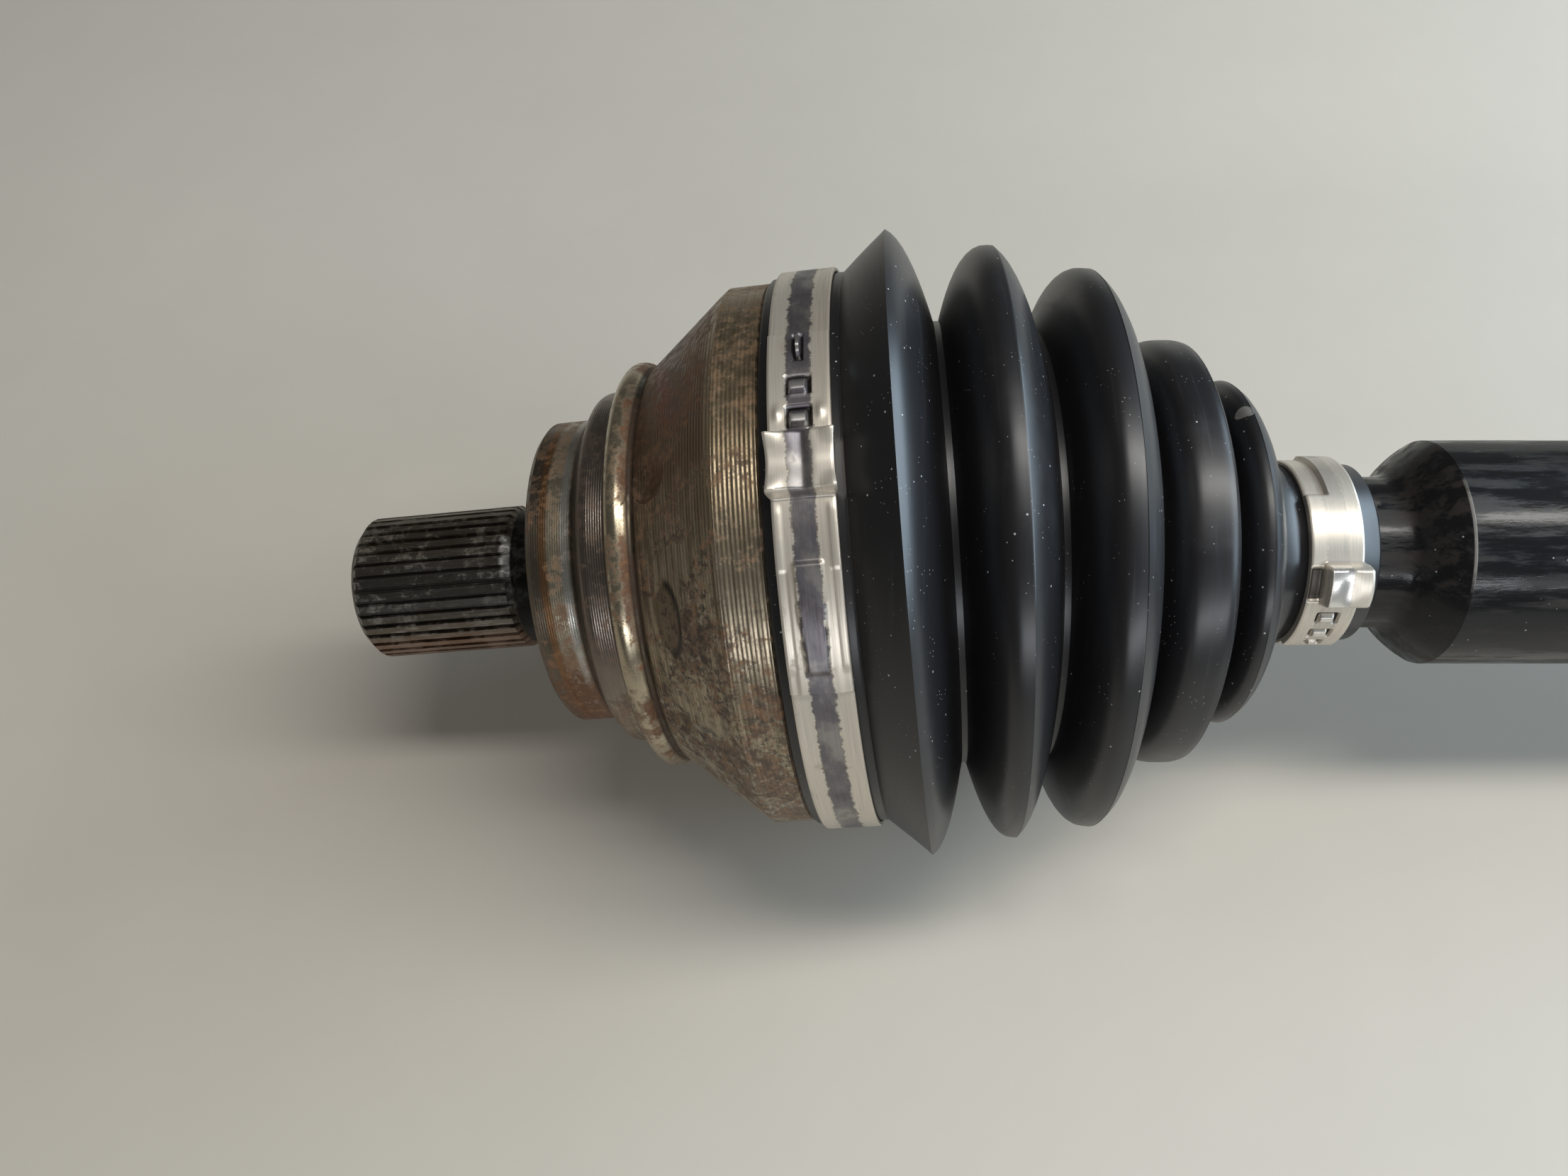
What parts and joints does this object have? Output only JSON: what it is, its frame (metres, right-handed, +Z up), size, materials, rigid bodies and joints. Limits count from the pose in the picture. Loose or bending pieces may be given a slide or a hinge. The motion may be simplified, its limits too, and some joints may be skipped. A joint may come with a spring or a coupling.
{
  "type": "half shaft",
  "caption": "Front-wheel-drive half shaft: a black tubular bar with a splined ball joint at the wheel end and a plunging flange joint, each under a ribbed boot.",
  "frame": {"origin": "centre of the gearbox flange's mating face", "axes": "+X along the bar from the wheel joint to the gearbox flange and out of its face, +Z up, so that two of the flange's lobes stand below the bar"},
  "size_m": [0.6185, 0.1232, 0.1219],
  "materials": {
    "bar_paint": "gloss black paint",
    "hardened_steel": "ground and hardened",
    "spring_steel": "blued spring wire",
    "ball_steel": "polished",
    "bell_steel": "turned forging, oily, with light rust",
    "boot_elastomer": "satin black",
    "clamp_strip": "bright stainless strip",
    "housing_steel": "turned forging, oily",
    "cap_steel": "zinc plated sheet"
  },
  "bodies": {
    "shaft": {"bar_tube": "bar_paint", "bar_end_wheel_side": "bar_paint", "bar_end_gearbox_side": "bar_paint", "wheel_joint_inner_race": "hardened_steel", "wheel_joint_circlip": "spring_steel", "wheel_boot": "boot_elastomer", "wheel_boot_small_clamp": "clamp_strip", "gearbox_joint_inner_race": "hardened_steel", "gearbox_joint_circlip": "spring_steel", "gearbox_boot": "boot_elastomer", "gearbox_boot_small_clamp": "clamp_strip"},
    "wheel_joint_top_ball": {"wheel_joint_top_ball": "ball_steel"},
    "wheel_joint_cage": {"wheel_joint_cage": "hardened_steel", "wheel_joint_side_balls": "ball_steel"},
    "wheel_joint_bottom_ball": {"wheel_joint_bottom_ball": "ball_steel"},
    "wheel_joint_bell": {"wheel_joint_outer_race": "bell_steel", "wheel_boot_large_clamp": "clamp_strip"},
    "gearbox_joint_cage": {"gearbox_joint_cage": "hardened_steel", "gearbox_joint_balls": "ball_steel"},
    "gearbox_joint_bottom_ball": {"gearbox_joint_bottom_ball": "ball_steel"},
    "gearbox_joint_housing": {"gearbox_joint_housing": "housing_steel", "gearbox_joint_end_cap": "cap_steel", "gearbox_joint_stop_ring": "spring_steel", "gearbox_boot_large_clamp": "clamp_strip"}
  },
  "joints": [
    {"name": "wheel_joint_bump", "type": "hinge", "parent": "shaft", "child": "wheel_joint_top_ball", "pos_m": [-0.525, 0, 0], "axis": [0, 1, 0], "range_deg": [-1.6, 10.4], "deforming": ["wheel_boot"]},
    {"name": "wheel_joint_steer", "type": "hinge", "parent": "wheel_joint_top_ball", "child": "wheel_joint_cage", "pos_m": [-0.525, 0, 0], "axis": [-0.0767, 0, 0.9971], "range_deg": [-22, 22], "deforming": ["wheel_boot"]},
    {"name": "wheel_joint_steer_outer", "type": "hinge", "parent": "wheel_joint_cage", "child": "wheel_joint_bottom_ball", "pos_m": [-0.525, 0, 0], "axis": [-0.0767, 0, 0.9971], "range_deg": [-22, 22], "deforming": ["wheel_boot"]},
    {"name": "wheel_joint_bump_outer", "type": "hinge", "parent": "wheel_joint_bottom_ball", "child": "wheel_joint_bell", "pos_m": [-0.525, 0, 0], "axis": [0, 1, 0], "range_deg": [-1.6, 10.4], "deforming": ["wheel_boot"]},
    {"name": "gearbox_joint_swing", "type": "hinge", "parent": "shaft", "child": "gearbox_joint_cage", "pos_m": [-0.033, 0, 0], "axis": [0, 0, 1], "range_deg": [-10, 10], "deforming": ["gearbox_boot"]},
    {"name": "gearbox_joint_swing_outer", "type": "hinge", "parent": "gearbox_joint_cage", "child": "gearbox_joint_bottom_ball", "pos_m": [-0.037, 0, 0], "axis": [0, 0, 1], "range_deg": [-10, 10], "deforming": ["gearbox_boot"]},
    {"name": "gearbox_joint_plunge", "type": "slide", "parent": "gearbox_joint_bottom_ball", "child": "gearbox_joint_housing", "axis": [1, 0, 0], "range_m": [-0.01, 0.01], "deforming": ["gearbox_boot"]}
  ],
  "couplings": [
    {"joint": "wheel_joint_steer_outer", "follows": "wheel_joint_steer", "ratio": 1},
    {"joint": "wheel_joint_bump_outer", "follows": "wheel_joint_bump", "ratio": 1},
    {"joint": "gearbox_joint_swing_outer", "follows": "gearbox_joint_swing", "ratio": 1}
  ]
}
